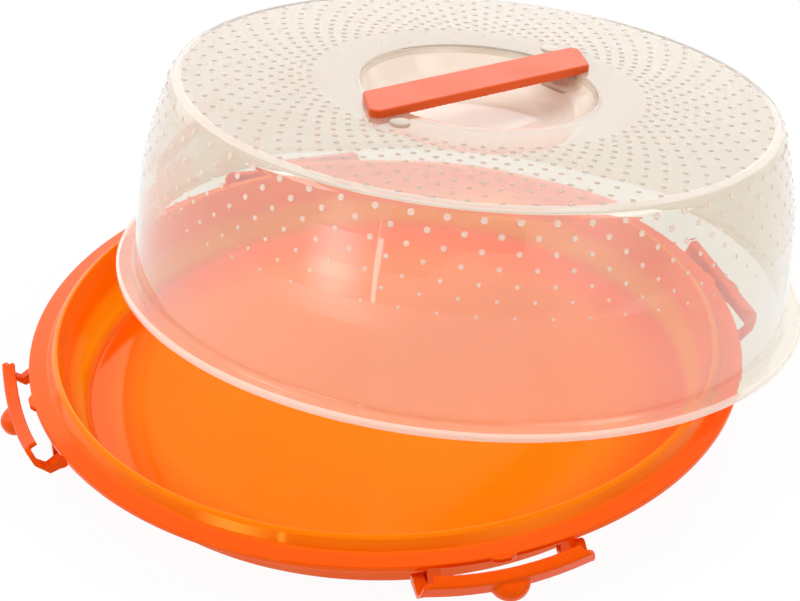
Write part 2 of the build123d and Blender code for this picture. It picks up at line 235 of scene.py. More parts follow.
class Colouring(Enum):
    """How a finish's colour is spread over its moulding."""

    CLOUDED = "clouded"
    BY_RADIUS = "by_radius"


@dataclass(frozen=True)
class OrangePolypropylene:
    """Injection-moulded polypropylene: a little light enters it, so thin walls glow yellower."""

    name: str
    roughness: float
    base: str = ""
    deep: str = ""
    shine: float = 0.5
    gloss_tint: str = "#ffd850"
    gloss_spread: tuple[float, float] = (0.85, 1.2)
    cloud_mm: float = 35.0
    grain_mm: float = 0.5
    grain_depth: float = 0.02
    grain_reach: float = 0.0005
    colouring: Colouring = Colouring.CLOUDED
    orange_and_painted_light_stops: tuple[tuple[float, str], ...] = ()

    def material(self) -> bpy.types.Material:
        """Build the node material.

        Returns:
            The material.
        """
        material, tree = new_material(self.name)
        where = add_node(tree, "ShaderNodeTexCoord").outputs["Object"]
        clouds = add_node(
            tree,
            "ShaderNodeTexNoise",
            links={"Vector": where},
            values={"Scale": 1 / (self.cloud_mm * MM), "Detail": 3.0, "Roughness": 0.5},
        )
        if self.colouring is Colouring.BY_RADIUS:
            colour = self.radial(tree, where)
        else:
            colour = add_node(
                tree,
                "ShaderNodeMix",
                {"data_type": "RGBA"},
                links={0: clouds.outputs["Fac"]},
                values={6: linear(self.base), 7: linear(self.deep)},
            ).outputs[2]
        grain = add_node(
            tree,
            "ShaderNodeTexNoise",
            links={"Vector": where},
            values={"Scale": 1 / (self.grain_mm * MM), "Detail": 2.0},
        )
        bump = add_node(
            tree,
            "ShaderNodeBump",
            links={"Height": grain.outputs["Fac"]},
            values={"Strength": self.grain_depth, "Distance": self.grain_reach},
        )
        low, high = (self.roughness * share for share in self.gloss_spread)
        gloss = add_node(
            tree,
            "ShaderNodeMapRange",
            links={"Value": clouds.outputs["Fac"]},
            values={"From Min": 0.3, "From Max": 0.7, "To Min": low, "To Max": high},
        )
        shader = add_node(
            tree,
            "ShaderNodeBsdfPrincipled",
            links={"Base Color": colour, "Roughness": gloss.outputs[0], "Normal": bump.outputs[0]},
            values={
                "IOR": PLASTIC_IOR,
                "Specular IOR Level": self.shine,
                "Specular Tint": linear(self.gloss_tint),
            },
        )
        add_node(tree, "ShaderNodeOutputMaterial", links={"Surface": shader.outputs[0]})
        return material

    def radial(self, tree: bpy.types.NodeTree, where: bpy.types.NodeSocket) -> bpy.types.NodeSocket:
        """Colour that changes with the distance from the tray's axis, with light and shade painted into it:
        painted shade on the floor by the wall, a painted glow up the wall and a painted highlight on the
        crest.

        Args:
            tree: the material's tree.
            where: object coordinates.

        Returns:
            The colour socket.
        """
        flat = add_node(
            tree, "ShaderNodeVectorMath", {"operation": "MULTIPLY"}, links={0: where}, values={1: (1, 1, 0)}
        )
        radius = add_node(tree, "ShaderNodeVectorMath", {"operation": "LENGTH"}, links={0: flat.outputs[0]})
        share = add_node(
            tree,
            "ShaderNodeMapRange",
            links={"Value": radius.outputs["Value"]},
            values={"From Min": 0.0, "From Max": RAMP_END * MM},
        )
        ramp = add_node(tree, "ShaderNodeValToRGB", links={"Fac": share.outputs[0]})
        elements = ramp.color_ramp.elements
        while len(elements) > 1:
            elements.remove(elements[-1])
        elements[0].position = self.orange_and_painted_light_stops[0][0] / RAMP_END
        elements[0].color = linear(self.orange_and_painted_light_stops[0][1])
        for radius_mm, colour in self.orange_and_painted_light_stops[1:]:
            elements.new(radius_mm / RAMP_END).color = linear(colour)
        return ramp.outputs["Color"]


@dataclass(frozen=True)
class ClearPolypropylene:
    """Natural polypropylene: see-through, faintly warm, with a little milk in it and glossy faces."""

    name: str
    tint: str
    through: str
    clarity: float
    roughness: float
    ior: float = 1.15  # below the plastic's own, as a thin wall hardly shifts what is behind it
    skin: float = 0.7
    skin_roughness: float = 0.03

    def material(self) -> bpy.types.Material:
        """Build the node material; rays from the lamps pass straight through, as through a thin wall.

        Returns:
            The material.
        """
        material, tree = new_material(self.name)
        shader = add_node(
            tree,
            "ShaderNodeBsdfPrincipled",
            values={
                "Base Color": linear(self.tint),
                "Roughness": self.roughness,
                "IOR": self.ior,
                "Transmission Weight": self.clarity,
                "Coat Weight": self.skin,
                "Coat Roughness": self.skin_roughness,
                "Coat IOR": PLASTIC_IOR,
            },
        )
        path = add_node(tree, "ShaderNodeLightPath")
        passed = add_node(tree, "ShaderNodeBsdfTransparent", values={"Color": linear(self.through)})
        mixed = add_node(
            tree,
            "ShaderNodeMixShader",
            links={0: path.outputs["Is Shadow Ray"], 1: shader.outputs[0], 2: passed.outputs[0]},
        )
        add_node(tree, "ShaderNodeOutputMaterial", links={"Surface": mixed.outputs[0]})
        return material


@dataclass
class Moulding:
    """A rigid moulding copied from its CAD node, with the small corner radii a mould leaves."""

    node: str
    body: str
    slot: str
    finish: bpy.types.Material
    voxel_mm: float
    relax: int = 3
    relax_share: float = 0.5
    weld: float = 2e-6

    def build(self) -> None:
        """Round the node's copy and let it stand for the node."""
        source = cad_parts[self.node]
        mesh = bmesh.new()
        mesh.from_mesh(source.data)
        bmesh.ops.transform(mesh, matrix=source.matrix_world, verts=mesh.verts)
        bmesh.ops.remove_doubles(mesh, verts=mesh.verts, dist=self.weld)
        piece = finished(f"{self.node}_moulding", mesh, Matrix.Identity(4))
        remesh = piece.modifiers.new("even_skin", "REMESH")
        remesh.mode = "VOXEL"
        remesh.voxel_size = self.voxel_mm * MM
        smooth = piece.modifiers.new("mould_radius", "SMOOTH")
        smooth.factor = self.relax_share
        smooth.iterations = self.relax
        settle(piece)
        piece.data.shade_smooth()
        piece.data.materials.clear()
        piece.data.materials.append(self.finish)
        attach(piece, self.body)
        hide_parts(self.node)
        LOG.info("%s: %d faces", piece.name, len(piece.data.polygons))


@dataclass
class Tray:
    """Footed tray: glossy floor, bowed wall, ridge, sloping seating band and skirt.

    Lengths are in millimetres, with the axis upright and the table at height 0.
    """

    finish: bpy.types.Material
    under_finish: bpy.types.Material
    crest: Point = (161.3, 38.0)
    crest_inside: Corner = (-1.6, -0.3, 0.9)
    crest_top: Corner = (-0.32, 0.1, 0.9)
    crest_outside: Corner = (1.44, -1.4, 1.2)
    crest_under: Corner = (-1.6, -16.0, 20.0)
    shoulder: Point = (165.0, 31.9)
    shoulder_bend: float = 1.6
    shoulder_under_bend: float = 1.0
    rim: Point = (174.3, 31.0)
    rim_bend: float = 0.9
    skirt_bottom: float = 28.2
    skirt_wall: float = 2.4
    skirt_edge: Point = (0.6, 0.4)
    skirt_root: float = 2.0
    floor: Point = (149.1, 4.6)
    floor_bend: Corner = (-0.8, 0.0, 5.0)
    wall_foot: Corner = (3.4, 8.2, 30.0)
    wall_head: Corner = (-3.2, -10.0, 40.0)
    wall: float = 2.2
    under_bend: Corner = (1.2, 0.0, 3.0)
    foot_root: float = 0.8
    foot_edge: float = 0.6
    foot_radius: float = 145.1
    foot_wall: float = 2.4
    catch_azimuths: tuple[float, ...] = (288.0, 198.0, 18.0, 108.0)
    hinge_radius: float = 168.0
    hinge_height: float = 21.4
    lug_offset: float = 30.6
    lug_width: float = 6.0
    lug_radius: float = 3.2
    bump_width: float = 12.5
    bump_reach: float = 2.0
    bump_root: float = -4.0
    bump_corner: float = 2.4
    bump_crown: float = 0.45
    bump_lift: float = 0.05
    bump_top_gap: float = 0.3
    bump_edge: float = 0.5
    outward_share: float = 0.2
    downward_share: float = 0.5

    def outline(self) -> list[Point]:
        """Closed section of the tray, inside first.

        Returns:
            The section's points, as radius and height.
        """
        under = self.floor[1] - self.wall
        skirt = self.rim[0] - self.skirt_wall
        outer_edge, inner_edge = self.skirt_edge
        foot = self.foot_radius - self.foot_wall
        corners = [
            (0, self.floor[1], 0),
            beside(self.floor, self.floor_bend),
            beside(self.floor, self.wall_foot),
            beside(self.crest, self.wall_head),
            beside(self.crest, self.crest_inside),
            beside(self.crest, self.crest_top),
            beside(self.crest, self.crest_outside),
            (*self.shoulder, self.shoulder_bend),
            (*self.rim, self.rim_bend),
            (self.rim[0], self.skirt_bottom, outer_edge),
            (skirt, self.skirt_bottom, inner_edge),
            (skirt, self.rim[1] - self.skirt_root, inner_edge),
            beside(self.shoulder, (-self.wall, -self.wall, self.shoulder_under_bend)),
            beside(self.crest, self.crest_under),
            beside((self.floor[0], under), self.under_bend),
            (self.foot_radius, under, self.foot_root),
            (self.foot_radius, 0, self.foot_edge),
            (foot, 0, self.foot_edge),
            (foot, under, self.foot_root),
            (0, under, 0),
        ]
        return rounded(corners)

    def build(self) -> None:
        """Make the tray's shell and the lugs and bumps on its rim."""
        shell = lathe("tray_shell", self.outline(), Matrix.Identity(4))
        shell.data.materials.append(self.finish)
        shell.data.materials.append(self.under_finish)
        for face in shell.data.polygons:
            middle = face.center / MM
            outward = face.normal.xy.dot(middle.xy.normalized())
            below = middle.z < self.skirt_bottom and middle.xy.length < self.shoulder[0]
            faces_out = outward > self.outward_share or face.normal.z < -self.downward_share
            face.material_index = int(below and faces_out)
        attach(shell, "tray")
        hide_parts("base_tray")
        for azimuth in self.catch_azimuths:
            self.fitting(azimuth)
        LOG.info("tray_shell: %d faces", len(shell.data.polygons))

    def fitting(self, azimuth: float) -> None:
        """Make the catch bump and the two hinge lugs under the rim at one latch.

        Args:
            azimuth: where the latch's middle is, in degrees.
        """
        mesh = bmesh.new()
        top = self.rim[1] - self.wall / 2
        lie_down = Matrix.Rotation(math.pi / 2, 4, "X")
        for side in (1, -1):
            spot = Matrix.Translation(Vector((self.hinge_radius, side * self.lug_offset, 0)) * MM)
            knuckle = Matrix.Translation((0, 0, self.hinge_height * MM)) @ lie_down
            bmesh.ops.create_cone(
                mesh,
                cap_ends=True,
                segments=32,
                radius1=self.lug_radius * MM,
                radius2=self.lug_radius * MM,
                depth=self.lug_width * MM,
                matrix=spot @ knuckle,
            )
            rise = (top - self.hinge_height) * MM
            size = Matrix.Diagonal((2 * self.lug_radius * MM, self.lug_width * MM, rise, 1))
            middle = Matrix.Translation((0, 0, (top + self.hinge_height) / 2 * MM))
            bmesh.ops.create_cube(mesh, size=1.0, matrix=spot @ middle @ size)
        turn = Matrix.Rotation(math.radians(azimuth), 4, "Z")
        lugs = finished(f"tray_lugs_{azimuth:.0f}", mesh, turn, SHARP_FITTING)
        bump = bmesh.new()
        half = self.bump_width / 2
        crown = half * self.bump_crown
        outline = [(self.bump_root, -half), (0.0, -half), (self.bump_reach, -crown)]
        outline += [(self.bump_reach, crown), (0.0, half), (self.bump_root, half)]
        points = rounded([(x + self.rim[0], y, self.bump_corner) for x, y in outline], 6)
        level = (self.skirt_bottom + self.bump_lift) * MM
        floor = [bump.verts.new((x * MM, y * MM, level)) for x, y in points]
        base = bump.faces.new(floor)
        lifted = bmesh.ops.extrude_face_region(bump, geom=[base])["geom"]
        moved = [item for item in lifted if isinstance(item, bmesh.types.BMVert)]
        height = (self.rim[1] - self.skirt_bottom - self.bump_top_gap) * MM
        bmesh.ops.translate(bump, verts=moved, vec=(0, 0, height))
        bmesh.ops.recalc_face_normals(bump, faces=bump.faces)
        catch = finished(f"tray_catch_{azimuth:.0f}", bump, turn, SHARP_FITTING)
        soften = catch.modifiers.new("mould_radius", "BEVEL")
        soften.width = self.bump_edge * MM
        soften.segments = 3
        settle(catch)
        for piece in (lugs, catch):
            piece.data.materials.clear()
            piece.data.materials.append(self.finish)
            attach(piece, "tray")


class LidZone(Enum):
    """Zones of the lid's shell that differ in look, numbered as its material slots."""

    SIDE = 0
    LIP = 1
    # The bowl and the bead; on the bead the milk is partly a painted highlight.
    THICK = 2
    TOP = 3


@dataclass
class Lid:
    """Clear domed lid: dotted top and side, round recess, flange.

    Lengths are in millimetres in the lid's own frame, whose origin is the centre of the top edge.
    """

    finishes: dict[LidZone, bpy.types.Material]
    top_dot_finish: bpy.types.Material
    side_dot_finish: bpy.types.Material
    centre: Spot = (45.93, 73.72, 129.45)
    tilt: float = 9.376
    tilt_azimuth: float = 57.8
    spin: float = 6.8
    height: float = 100.4
    top_radius: float = 151.2
    wall: float = 2.0
    flange_radius: float = 176.2
    flange_thickness: float = 2.2
    foot_radius: float = 167.6
    dome_rise: float = 3.5
    flat_radius: float = 85.0
    recess_radius: float = 61.2
    recess_depth: float = 15.0
    bowl_floor: float = 50.0
    bowl_bend: float = 14.0
    throat: Corner = (58.2, -1.6, 2.0)
    recess_edge: float = 59.6
    recess_edge_bend: float = 1.2
    dome_middle: float = 119.0
    dome_bend: float = 30.0
    brow: float = 146.8
    bead_inside: Corner = (148.4, 0.6, 0.8)
    bead_outside: Corner = (151.4, -0.2, 1.6)
    top_corner: Corner = (150.0, -2.4, 2.0)
    brow_under_bend: float = 3.0
    throat_under: Corner = (60.2, -3.0, 3.0)
    recess_under: float = 61.4
    recess_under_bend: float = 2.0
    bowl_under: float = 51.0
    side_bend: float = 6.0
    foot_rise: float = 2.0
    foot_step: float = 1.0
    foot_under_bend: float = 1.0
    flange_edge: Point = (1.6, 1.0)
    flange_bend: float = 0.8
    lip_drop: float = 1.4
    lip_edge: float = 0.6
    lip_root: float = 1.5
    lip_width: float = 1.7
    # Band of radii of the bead, whose milky finish is partly a painted highlight along the top edge.
    bead_highlight_band: tuple[float, float] = (147.2, 151.7)
    bead_highlight_band_foot: float = -1.8
    thick_bowl_margin: float = 0.6
    thick_bowl_top: float = -0.3
    side: tuple[Point, ...] = (
        (153.9, -5.0),
        (155.8, -11.5),
        (157.9, -18.3),
        (159.7, -25.2),
        (161.6, -32.2),
        (163.1, -39.0),
        (164.4, -46.3),
        (165.4, -58.0),
        (166.4, -74.0),
    )
    dots_per_ring: int = 60
    ring_ratio: float = 0.952
    outer_ring: float = 145.7
    ring_start: float = -10.12
    top_rings: int = 12
    side_rings: int = 7
    top_dot_radius: float = 1.45
    top_dot_rise: float = 0.12
    side_dot_radius: float = 1.75
    side_dot_rise: float = 0.3
    side_dot_shrink: float = 0.09
    side_slope: float = 3.5
    handle_azimuth: float = 34.1
    socket_offset: float = 60.0
    socket_outside: Point = (8.5, 8.0)
    socket_inside: Point = (4.9, 6.4)
    socket_top: float = 1.5
    socket_foot: float = -9.0
    socket_corner: float = 1.2
    boss_offset: Point = (70.5, 22.0)
    boss_radius: float = 5.1
    boss_edge: float = 0.8
    boss_rise: float = 1.0
    boss_root: float = 0.5

    @property
    def place(self) -> Matrix:
        """Place of the leaning lid.

        Returns:
            The transform from the lid's own frame to the tray's, in metres.
        """
        turn = Matrix.Rotation(math.radians(self.tilt_azimuth), 4, "Z")
        lean = Matrix.Rotation(math.radians(self.tilt), 4, "Y")
        spin = Matrix.Rotation(math.radians(self.spin - self.tilt_azimuth), 4, "Z")
        return Matrix.Translation(Vector(self.centre) * MM) @ turn @ lean @ spin

    def dome(self, radius: float) -> float:
        """Height of the top's outer face at a radius, above the top edge."""
        return self.dome_rise * (1 - (max(radius, self.flat_radius) / self.top_radius) ** 2)

    def outline(self) -> list[Point]:
        """Closed section of the lid, outer face first.

        Returns:
            The section's points, as radius and height.
        """
        flat = (self.flat_radius, self.dome(0))
        middle = (self.dome_middle, self.dome(self.dome_middle))
        brow = (self.brow, self.dome(self.brow))
        inside, lift, bead_bend = self.bead_inside
        floor = -self.recess_depth
        foot = -self.height + self.flange_thickness
        under = -self.height
        lip = under - self.lip_drop
        outer = [(0, floor, 0), (self.bowl_floor, floor, self.bowl_bend)]
        outer += [self.throat, (self.recess_edge, flat[1], self.recess_edge_bend)]
        outer += [(*flat, self.dome_bend), (*middle, self.dome_bend), (*brow, bead_bend)]
        outer += [(inside, self.dome(inside) + lift, bead_bend), self.bead_outside]
        outer += [(r, z, self.side_bend) for r, z in self.side]
        outer += [(self.foot_radius, foot + self.foot_rise, self.foot_rise)]
        outer += [(self.foot_radius + self.foot_step, foot, self.flange_bend)]
        outer += [(self.flange_radius - self.flange_edge[0], foot, self.flange_bend)]
        outer += [(self.flange_radius, foot - self.flange_edge[1], self.flange_edge[1])]
        outer += [(self.flange_radius, lip, self.lip_edge)]
        outer += [(self.flange_radius - self.lip_drop, lip, self.lip_edge)]
        outer += [(self.flange_radius - self.lip_root, under, self.lip_edge / 2)]
        outer += [(self.foot_radius, under, self.lip_edge)]
        outer += [(self.foot_radius - self.wall, under + self.foot_rise, self.foot_under_bend)]
        inner = [(r - self.wall, z, self.side_bend) for r, z in reversed(self.side)]
        inner += [self.top_corner, beside(brow, (0.0, -self.wall, self.brow_under_bend))]
        inner += [beside(middle, (0.0, -self.wall, self.dome_bend))]
        inner += [beside(flat, (0.0, -self.wall, self.dome_bend))]
        inner += [(self.recess_under, flat[1] - self.wall, self.recess_under_bend), self.throat_under]
        inner += [(self.bowl_under, floor - self.wall, self.bowl_bend), (0, floor - self.wall, 0)]
        return rounded(outer + inner)

    def dot_seeds(self, on_top: bool) -> bpy.types.Object:
        """One vertex for each dot, with its outward direction and its radius as attributes.

        Args:
            on_top: the dots of the top; otherwise those of the side.

        Returns:
            The object of loose vertices.
        """
        spots: list[Vector] = []
        normals: list[Vector] = []
        sizes: list[float] = []
        for ring in range(self.top_rings if on_top else self.side_rings):
            if on_top:
                radius = self.outer_ring * self.ring_ratio**ring
                height = self.dome(radius)
                slope = 2 * self.dome_rise * radius / self.top_radius**2
                size = self.top_dot_radius
            else:
                radius, height = self.side[ring]
                slope = self.side_slope
                size = self.side_dot_radius * (1 - self.side_dot_shrink * ring)
            self.ring_dots(radius, height, slope, (ring + (not on_top)) % 2, size, (spots, normals, sizes))
        data = bpy.data.meshes.new("dot_seeds")
        data.from_pydata([tuple(self.place @ (spot * MM)) for spot in spots], [], [])
        turn = self.place.to_3x3()
        facing = data.attributes.new("facing", "FLOAT_VECTOR", "POINT")
        facing.data.foreach_set("vector", [c for n in normals for c in (turn @ n.normalized())])
        size = data.attributes.new("dot_radius", "FLOAT", "POINT")
        size.data.foreach_set("value", [s * MM for s in sizes])
        seeds = bpy.data.objects.new("lid_top_dots" if on_top else "lid_side_dots", data)
        bpy.context.scene.collection.objects.link(seeds)
        return seeds

    def ring_dots(
        self,
        radius: float,
        height: float,
        slope: float,
        stagger: int,
        size: float,
        into: tuple[list[Vector], list[Vector], list[float]],
    ) -> None:
        """Add one ring of dots.

        Args:
            radius: radius of the ring.
            height: height of the ring in the lid's frame.
            slope: outward over upward part of the surface's normal.
            stagger: 1 turns the ring by half a step.
            size: radius of each dot.
            into: lists of places, directions and sizes that grow.
        """
        for index in range(self.dots_per_ring):
            turn = math.radians(self.ring_start + (index + stagger / 2) * 360 / self.dots_per_ring)
            across = Vector((math.cos(turn), math.sin(turn), 0))
            into[0].append(across * radius + Vector((0, 0, height)))
            into[1].append(across * slope + Vector((0, 0, 1)))
            into[2].append(size)

    def dot_tree(self) -> bpy.types.NodeTree:
        """Build the Geometry Nodes tree that puts a low round bump on every seed.

        Returns:
            The tree, with the seeds, the bump's rise and the finish as its inputs.
        """
        tree = bpy.data.node_groups.new("raised_dots", "GeometryNodeTree")
        face = tree.interface
        face.new_socket("Seeds", in_out="INPUT", socket_type="NodeSocketGeometry")
        face.new_socket("Rise", in_out="INPUT", socket_type="NodeSocketFloat")
        face.new_socket("Finish", in_out="INPUT", socket_type="NodeSocketMaterial")
        face.new_socket("Dots", in_out="OUTPUT", socket_type="NodeSocketGeometry")
        start = add_node(tree, "NodeGroupInput")
        bump = add_node(tree, "GeometryNodeMeshUVSphere", values={"Segments": 12, "Rings": 6, "Radius": 1.0})
        facing = add_node(
            tree,
            "GeometryNodeInputNamedAttribute",
            {"data_type": "FLOAT_VECTOR"},
            values={"Name": "facing"},
        )
        size = add_node(
            tree, "GeometryNodeInputNamedAttribute", {"data_type": "FLOAT"}, values={"Name": "dot_radius"}
        )
        turn = add_node(
            tree, "FunctionNodeAlignRotationToVector", {"axis": "Z"}, links={"Vector": facing.outputs[0]}
        )
        height = add_node(
            tree,
            "ShaderNodeMath",
            {"operation": "MULTIPLY"},
            links={0: size.outputs[0], 1: start.outputs["Rise"]},
        )
        scale = add_node(
            tree,
            "ShaderNodeCombineXYZ",
            links={0: size.outputs[0], 1: size.outputs[0], 2: height.outputs[0]},
        )
        placed = add_node(
            tree,
            "GeometryNodeInstanceOnPoints",
            links={
                "Points": start.outputs["Seeds"],
                "Instance": bump.outputs["Mesh"],
                "Rotation": turn.outputs[0],
                "Scale": scale.outputs[0],
            },
        )
        real = add_node(tree, "GeometryNodeRealizeInstances", links={0: placed.outputs[0]})
        dressed = add_node(
            tree,
            "GeometryNodeSetMaterial",
            links={"Geometry": real.outputs[0], "Material": start.outputs["Finish"]},
        )
        add_node(tree, "NodeGroupOutput", links={0: dressed.outputs[0]})
        return tree

    def dots(self, tree: bpy.types.NodeTree, on_top: bool) -> bpy.types.Object:
        """Raised dots in staggered rings over the top or the side.

        Args:
            tree: the Geometry Nodes tree that makes them.
            on_top: the dots of the top; otherwise those of the side.

        Returns:
            The dots as one plain mesh.
        """
        seeds = self.dot_seeds(on_top)
        modifier = seeds.modifiers.new("raised_dots", "NODES")
        modifier.node_group = tree
        sockets = {
            item.name: item.identifier
            for item in tree.interface.items_tree
            if item.item_type == "SOCKET" and item.in_out == "INPUT"
        }
        modifier[sockets["Rise"]] = self.top_dot_rise if on_top else self.side_dot_rise
        modifier[sockets["Finish"]] = self.top_dot_finish if on_top else self.side_dot_finish
        settle(seeds)
        seeds.data.shade_smooth()
        return seeds

    def fittings(self) -> list[bpy.types.Object]:
        """Make the sockets that hold the handle's legs and the round boss beside each.

        Returns:
            The two sockets and the two bosses.
        """
        pieces = []
        turn = self.place @ Matrix.Rotation(math.radians(self.handle_azimuth), 4, "Z")
        steps = [(self.socket_outside, self.socket_top), (self.socket_outside, self.socket_foot)]
        steps += [(self.socket_inside, self.socket_foot), (self.socket_inside, self.socket_top)]
        top = self.dome(0) + self.boss_rise
        root = self.dome(0) - self.boss_root
        edge = self.boss_radius
        boss = rounded([(0, top, 0), (edge, top, self.boss_edge), (edge, root, 0), (0, root, 0)])
        for side in (1, -1):
            place = turn @ Matrix.Translation(Vector((side * self.socket_offset, 0, 0)) * MM)
            loops = []
            for (half_length, half_width), height in steps:
                corners = [(half_length, half_width), (-half_length, half_width)]
                corners += [(-x, -y) for x, y in corners]
                loop = rounded([(x, y, self.socket_corner) for x, y in corners], 4)
                loops.append([(x, y, height) for x, y in loop])
            mesh = bmesh.new()
            rings = [[mesh.verts.new(Vector(spot) * MM) for spot in loop] for loop in loops]
            for ring, following in zip(rings, rings[1:] + rings[:1]):
                for index, vertex in enumerate(ring):
                    mesh.faces.new((ring[index - 1], vertex, following[index], following[index - 1]))
            bmesh.ops.recalc_face_normals(mesh, faces=mesh.faces)
            pieces.append(finished(f"lid_socket_{side}", mesh, place, SHARP_FITTING))
            spot = Vector((*self.boss_offset, 0)) * side
            pieces.append(lathe(f"lid_boss_{side}", boss, turn @ Matrix.Translation(spot * MM), 48))
        for piece in pieces:
            piece.data.materials.append(self.finishes[LidZone.SIDE])
        return pieces

    def zone(self, radius: float, height: float) -> LidZone:
        """Zone of a face of the shell.

        Args:
            radius: distance of the face's middle from the lid's axis.
            height: height of the face's middle in the lid's frame.

        Returns:
            The zone that the face belongs to.
        """
        inner_edge, outer_edge = self.bead_highlight_band
        if radius > self.flange_radius - self.lip_width:
            return LidZone.LIP
        if radius < self.recess_radius + self.thick_bowl_margin and height < self.thick_bowl_top:
            return LidZone.THICK
        # The bead takes the milky finish, partly for its depth and partly as a painted highlight.
        if inner_edge < radius < outer_edge and height > self.bead_highlight_band_foot:
            return LidZone.THICK
        # The top's zone takes a darker tint than the side's: painted shade.
        return LidZone.TOP if radius < inner_edge else LidZone.SIDE

    def build(self) -> None:
        """Make the lid's shell, its dots and the handle's sockets."""
        shell = lathe("lid_shell", self.outline(), self.place)
        for zone in LidZone:
            shell.data.materials.append(self.finishes[zone])
        back = self.place.inverted()
        for face in shell.data.polygons:
            middle = (back @ face.center) / MM
            face.material_index = self.zone(middle.xy.length, middle.z).value
        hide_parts("lid")
        tree = self.dot_tree()
        for piece in (shell, self.dots(tree, True), self.dots(tree, False), *self.fittings()):
            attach(piece, "cover")
        LOG.info("lid: %d faces", len(shell.data.polygons))


@dataclass(frozen=True)
class Card:
    """Card that only mirror reflections see, with its corners in order, in metres.

    Its glow fades out from its middle over the radius called fade; 0 gives an even card.
    """

    name: str
    strength: float
    corners: tuple[Spot, ...]
    fade: float = 0.0

    def build(self) -> None:
        """Make the card and put it on the stage."""
        data = bpy.data.meshes.new(self.name)
        data.from_pydata(self.corners, [], [tuple(range(len(self.corners)))])
        material, tree = new_material(self.name)
        glow = add_node(tree, "ShaderNodeEmission", values={"Color": WHITE, "Strength": self.strength})
        surface = self.faded(tree, glow.outputs[0]) if self.fade > 0 else glow.outputs[0]
        add_node(tree, "ShaderNodeOutputMaterial", links={"Surface": surface})
        data.materials.append(material)
        card = bpy.data.objects.new(self.name, data)
        bpy.context.scene.collection.objects.link(card)
        card.visible_camera = False
        card.visible_diffuse = False
        card.visible_transmission = False
        card.visible_shadow = False

    def faded(self, tree: bpy.types.NodeTree, surface: bpy.types.NodeSocket) -> bpy.types.NodeSocket:
        """Let the card's glow fade out round its middle.

        Args:
            tree: the card's material tree.
            surface: the glow.

        Returns:
            The faded glow.
        """
        middle = sum((Vector(corner) for corner in self.corners), Vector()) / len(self.corners)
        where = add_node(tree, "ShaderNodeTexCoord").outputs["Object"]
        offset = add_node(
            tree, "ShaderNodeVectorMath", {"operation": "SUBTRACT"}, links={0: where}, values={1: middle}
        )
        length = add_node(tree, "ShaderNodeVectorMath", {"operation": "LENGTH"}, links={0: offset.outputs[0]})
        share = add_node(
            tree,
            "ShaderNodeMapRange",
            {"interpolation_type": "SMOOTHSTEP"},
            links={"Value": length.outputs["Value"]},
            values={"From Min": 0.0, "From Max": self.fade, "To Min": 1.0, "To Max": 0.0},
        )
        clear = add_node(tree, "ShaderNodeBsdfTransparent")
        return add_node(
            tree, "ShaderNodeMixShader", links={0: share.outputs[0], 1: clear.outputs[0], 2: surface}
        ).outputs[0]


def upright_card(
    name: str, strength: float, ends: tuple[Point, Point], span: Point, fade: float = 0.0
) -> Card:
    """Card that stands upright between two points of the ground.

    Args:
        name: name of the card.
        strength: brightness in the mirror.
        ends: the two points, in metres.
        span: height of its foot and of its top.
        fade: radius over which it fades out.

    Returns:
        The card.
    """
    (first, last), (low, high) = ends, span
    return Card(name, strength, ((*first, low), (*last, low), (*last, high), (*first, high)), fade)


def lying_card(name: str, strength: float, near: Point, far: Point, fade: float) -> Card:
    """Card that lies just above the table.

    Args:
        name: name of the card.
        strength: brightness in the mirror.
        near: its corner with the least x and y.
        far: its corner with the greatest x and y.
        fade: radius over which it fades out.

    Returns:
        The card.
    """
    (left, front), (right, back) = near, far
    corners = ((left, front), (right, front), (right, back), (left, back))
    return Card(name, strength, tuple((*corner, ABOVE_TABLE) for corner in corners), fade)


